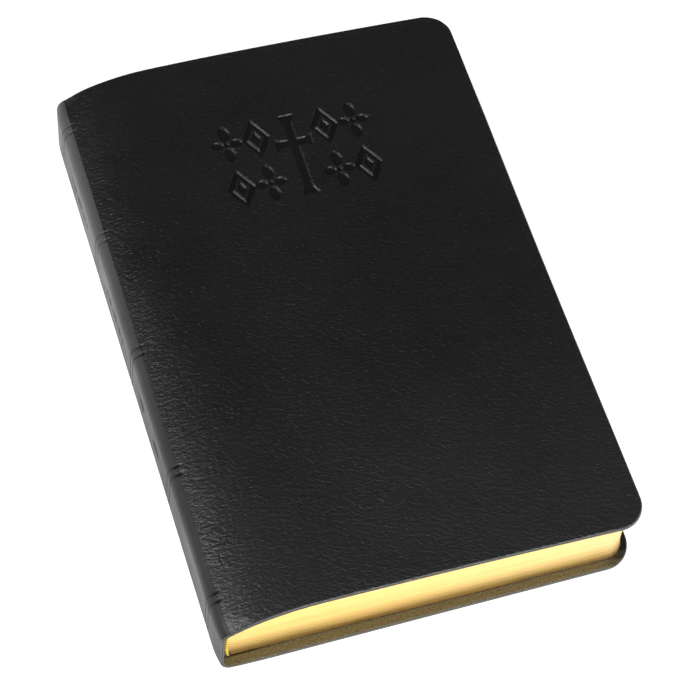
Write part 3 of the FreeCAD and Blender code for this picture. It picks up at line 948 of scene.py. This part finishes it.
def middle_height(x, share):
    return MIDDLE_BOTTOM + share * (MIDDLE_TOP - MIDDLE_BOTTOM) + 0 * x


def upper_height(x, share):
    return MIDDLE_TOP + share * (text_top(x) - MIDDLE_TOP)


def lower_root(share):
    z = lower_height(0.0, share)
    return ROOT_X + LOWER_ROOT_ROUNDING * max(0.0, ROOT_ROUNDING_Z - z) / (ROOT_ROUNDING_Z - TEXT_BOTTOM)


def middle_root(share):
    return ROOT_X


def upper_root(share):
    return ROOT_X + share * UPPER_ROOT_ROUNDING


def fore_edge(z):
    """The fore-edge is hollowed along its middle."""
    middle = (TEXT_BOTTOM + FORE_EDGE_Z - TEXT_TOP_DEPTH) / 2
    off_centre = (z - middle) / (middle - TEXT_BOTTOM)
    return FORE_X - HOLLOW * np.maximum(0, 1 - off_centre ** 2)


LEAF_COLUMNS = np.linspace(0, 1, 22) ** CROWDING
LEAF_ROWS = np.linspace(SQUARE + 0.012, HEIGHT - SQUARE - 0.012, 26)
LEAF_CORNER_STEPS = 8
RINGS_PER_HALF = 70
SECTION_UNEVENNESS = 0.00002
SHEET_UNEVENNESS = 0.000004
LEVEL_X = 0.1  # the level of an edge, for the gilt, is taken here


def leaf_block(name, height, root, shares, rings_in_all):
    """Leaves between two levels: printed faces above and below, gilt edges all round."""
    random = np.random.default_rng(sum(map(ord, name)))

    def grid(share, inset):
        length = float(fore_edge(height(np.array(FORE_X), share)))
        y, far = row_plan(
            SQUARE + inset, length + SQUARE, PAGE_CORNER + SQUARE, LEAF_ROWS, LEAF_CORNER_STEPS
        )
        start = root(share)
        x = start + LEAF_COLUMNS[:, None] * (far - start)[None, :]
        y = np.repeat(y[None, :], len(LEAF_COLUMNS), axis=0)
        return np.stack([x + SPINE_X, y + TAIL_Y, height(x, share)], axis=-1)

    rings, ring_rest = [], []
    steps = max(1, round((shares[1] - shares[0]) * rings_in_all))
    cuts = np.linspace(shares[0], shares[1], steps + 1)
    unevenness = SHEET_UNEVENNESS if steps == 1 else SECTION_UNEVENNESS
    top = grid(shares[1], 0.0)
    bottom = grid(shares[0], 0.0)
    loop = tuple(np.array(loop_round(*top.shape[:2])).T)
    run = np.concatenate([[0], np.cumsum(np.hypot(*np.diff(top[loop][:, :2], axis=0).T))])
    none = np.zeros_like(run)
    for share in cuts[::-1]:
        rings.append(grid(share, random.uniform(0.0, unevenness))[loop])
        ring_rest.append(np.column_stack([run, none + height(np.array(LEVEL_X), share), none]))
    points, faces, levels = closed_slab((top, bottom), rings, *top.shape[:2])
    flat_place = (-SPINE_X, -TAIL_Y, 0)
    rest = np.vstack([top.reshape(-1, 3) + flat_place, *ring_rest, bottom.reshape(-1, 3) + flat_place])
    rest[:, 2] = 0
    return flat_edges(make_piece(name, points, faces, [PAGE, GILT], on_edge(levels), rest))


def make_text():
    """The sections of both halves, and the six leaves between them as three sheets each."""
    for k in range(SECTIONS):
        shares = (k / SECTIONS, (k + 1) / SECTIONS)
        for half, height, root, first in (
            ("lower_text", lower_height, lower_root, 1),
            ("upper_text", upper_height, upper_root, SECTIONS + 1),
        ):
            node_name = "section_%02d" % (k + first)
            block = leaf_block(node_name + "_leaves", height, root, shares, RINGS_PER_HALF)
            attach(block, half)
            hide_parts(node_name)
    sheet = 1 / (MIDDLE_LEAVES * SHEETS_PER_LEAF)
    for k in range(MIDDLE_LEAVES):
        node_name = "middle_leaf_%d" % (k + 1)
        for i in range(SHEETS_PER_LEAF):
            low = (k * SHEETS_PER_LEAF + i) * sheet
            shares = (low, low + 0.985 * sheet)
            leaf = leaf_block("%s_%s" % (node_name, "abc"[i]), middle_height, middle_root, shares, 1)
            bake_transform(leaf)
            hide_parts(node_name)


# ---- Bands and lining ------------------------------------------------
BAND_RADIUS = 0.00085
BAND_X = 0.0032
BAND_ROUTE = np.array([
    [0.0043, 0.0030], [0.0038, 0.0052], [BAND_X, 0.0090],
    [BAND_X, 0.0180], [0.0042, 0.0212], [0.0066, 0.0236],
])
TURN_PITCH = 0.00042
RINGS_PER_TURN = 4
BAND_SIDES = 12
THREAD_SLANT = 0.0008
BAND_FROM_TEXT = 0.0004


def make_band(name, y, outwards, nodes):
    """Sewn band: a bead wound with slanting yellow and black thread."""
    steps = np.concatenate([[0], np.cumsum(np.hypot(*np.diff(BAND_ROUTE, axis=0).T))])
    around = BAND_SIDES
    points, rest, faces, colours = [], [], [], []
    rings = int(steps[-1] / TURN_PITCH) * RINGS_PER_TURN + 1
    for k in range(rings):
        for a in range(around):
            angle = 2 * math.pi * a / around
            slant = THREAD_SLANT * math.sin(angle)
            along = np.clip(k / RINGS_PER_TURN * TURN_PITCH + slant, 0, steps[-1])
            x = np.interp(along, steps, BAND_ROUTE[:, 0])
            z = np.interp(along, steps, BAND_ROUTE[:, 1])
            swell = 0.84 + 0.16 * abs(math.sin(math.pi * k / RINGS_PER_TURN))
            taper = min(1.0, 0.35 + 3 * min(k, rings - 1 - k) / rings)
            radius = BAND_RADIUS * swell * taper
            out = outwards * radius * math.sin(angle)
            points.append((SPINE_X + x + radius * math.cos(angle), y + out, z))
            rest.append((x, angle * BAND_RADIUS, along))
    for k in range(rings - 1):
        dark = (k // RINGS_PER_TURN) % 4 in (0, 1)
        for a in range(around):
            b = (a + 1) % around
            faces.append((k * around + a, k * around + b, (k + 1) * around + b, (k + 1) * around + a))
            on_spine_side = math.cos(2 * math.pi * (a + 0.5) / around) < -0.1
            colours.append(1 if dark and on_spine_side else 0)
    faces.append(tuple(reversed(range(around))))
    faces.append(tuple(range((rings - 1) * around, rings * around)))
    colours += [0, 0]
    if outwards > 0:
        faces = [tuple(reversed(face)) for face in faces]
    piece = make_piece(name, points, faces, [YELLOW_THREAD, BLACK_THREAD], colours, rest)
    blend_at_fold(piece)
    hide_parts(*nodes)


LINING_LEVELS = np.linspace(0.0045, 0.0235, 39)
LINING_X = 0.0017
LINING_ROUNDING = 0.0012
LINING_END = SQUARE + 0.0009


def make_lining():
    """Mull and glue between the spine and the roots of the leaves."""
    levels = LINING_LEVELS
    lower = np.clip((ROOT_ROUNDING_Z - levels) / (ROOT_ROUNDING_Z - TEXT_BOTTOM), 0, 1)
    upper = np.clip((levels - MIDDLE_TOP) / (text_top(SHOULDER_RADIUS) - MIDDLE_TOP), 0, 1)
    right = ROOT_X + np.maximum(LOWER_ROOT_ROUNDING * lower, UPPER_ROOT_ROUNDING * upper)
    left = LINING_X + LINING_ROUNDING * np.maximum(0.5 * lower, upper) ** 2
    rows = np.linspace(LINING_END, HEIGHT - LINING_END, 30)
    grids = []
    for x in (left, right):
        parts = np.broadcast_arrays(x[:, None] + SPINE_X, rows[None, :] + TAIL_Y, levels[:, None])
        grids.append(np.stack(parts, axis=-1))
    points, faces, _ = closed_slab(grids, [], len(levels), len(rows))
    piece = flat_edges(make_piece("spine_mull", points, faces, [MULL], np.zeros(len(faces), int)))
    blend_at_fold(piece)
    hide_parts("spine_lining_lower", "spine_lining_upper")


def dress_cad_nodes():
    """Materials for the pieces of the frame that stay as they are."""
    looks = {"board": BOARD, "inlay": BOARD, "pastedown": ENDPAPER, "flyleaf": ENDPAPER}
    for name, shown in frame["nodes"].items():
        for word, look in looks.items():
            if word in name:
                shown.data.materials.clear()
                shown.data.materials.append(look)


# ---- Stage -----------------------------------------------------------
FLOOR_HALF = 3.0
FLOOR_Z = -0.0002
FLOOR_GLOW = 0.62
WORLD_GLOW = 0.18
SOFTBOXES = (  # name, place, aim, size, power
    ("left_softbox", (-1.2, 0.4, 0.5), (0, 0.02, 0.02), (0.6, 0.4), 2.5),
    ("head_softbox", (-1.10, 0.0, 0.93), (0, 0, 0.02), (0.36, 0.36), 7.5),
    ("front_softbox", (0.25, -1.5, 0.55), (0, 0, 0.02), (1.3, 0.5), 23),
    ("top_softbox", (-0.45, -0.8, 1.45), (0, 0, 0), (0.8, 0.8), 4.6),
)


def make_stage():
    """Pale floor with a faint glow, so that it stays white under soft light."""
    made, tree, shader = start_material("pale_floor", Roughness=0.9, Specular_IOR_Level=0.1)
    speck = noise(tree, node(tree, "ShaderNodeTexCoord").outputs["Object"], 30.0, 2.0)
    tone = mix(tree, speck, colour(0.90, 0.90, 0.90), colour(0.93, 0.93, 0.93))
    tree.links.new(tone, shader.inputs["Base Color"])
    shader.inputs["Emission Color"].default_value = WHITE
    shader.inputs["Emission Strength"].default_value = FLOOR_GLOW
    corners = [(x * FLOOR_HALF, y * FLOOR_HALF, FLOOR_Z) for x, y in ((-1, -1), (1, -1), (1, 1), (-1, 1))]
    floor = make_piece("floor", corners, [(0, 1, 2, 3)], [made], [0])


def area_light(name, place, aim, size, power):
    data = bpy.data.lights.new(name, "AREA")
    data.shape = "RECTANGLE"
    data.size, data.size_y = size
    data.energy = power
    light = bpy.data.objects.new(name, data)
    light.location = place
    light.rotation_euler = (Vector(aim) - Vector(place)).to_track_quat("-Z", "Y").to_euler()
    bpy.context.scene.collection.objects.link(light)


def make_lights():
    world = bpy.data.worlds.new("studio")
    world.use_nodes = True
    background = world.node_tree.nodes["Background"]
    background.inputs[0].default_value = colour(0.97, 0.98, 1.0)
    background.inputs[1].default_value = WORLD_GLOW
    bpy.context.scene.world = world
    for softbox in SOFTBOXES:
        area_light(*softbox)


# ---- Camera ----------------------------------------------------------
CAMERA_PLACE = (-0.1835, -0.4208, 0.7592)
CAMERA_YAW = 24.28
CAMERA_PITCH = 58.94
CAMERA_ROLL = 8.09
FOCAL_LENGTH = 130.55
SENSOR = 36.0


def make_camera():
    """Looks from the tail and the spine side, down on the front cover."""
    yaw, pitch, roll = (math.radians(a) for a in (CAMERA_YAW, CAMERA_PITCH, CAMERA_ROLL))
    forward = Vector((math.sin(yaw) * math.cos(pitch), math.cos(yaw) * math.cos(pitch), -math.sin(pitch)))
    level = Vector((math.cos(yaw), -math.sin(yaw), 0))
    upright = level.cross(forward)
    right = level * math.cos(roll) + upright * math.sin(roll)
    up = upright * math.cos(roll) - level * math.sin(roll)
    data = bpy.data.cameras.new("camera")
    data.lens = FOCAL_LENGTH
    data.sensor_width = SENSOR
    camera = bpy.data.objects.new("camera", data)
    turned = Matrix((right, up, -forward)).transposed().to_4x4()
    camera.matrix_world = Matrix.Translation(CAMERA_PLACE) @ turned
    bpy.context.scene.collection.objects.link(camera)
    bpy.context.scene.camera = camera


make_camera()
make_stage()
make_lights()
make_covers()
make_inner_boards()
make_front_leaves()
make_text()
TEXT_TAIL_Y = TAIL_Y + SQUARE
TEXT_HEAD_Y = TAIL_Y + HEIGHT - SQUARE
make_band("tail_sewn_band", TEXT_TAIL_Y - BAND_FROM_TEXT, -1, ("tail_band_lower", "tail_band_upper"))
make_band("head_sewn_band", TEXT_HEAD_Y + BAND_FROM_TEXT, 1, ("head_band_lower", "head_band_upper"))
make_lining()
dress_cad_nodes()
bpy.context.scene.view_settings.view_transform = "Standard"
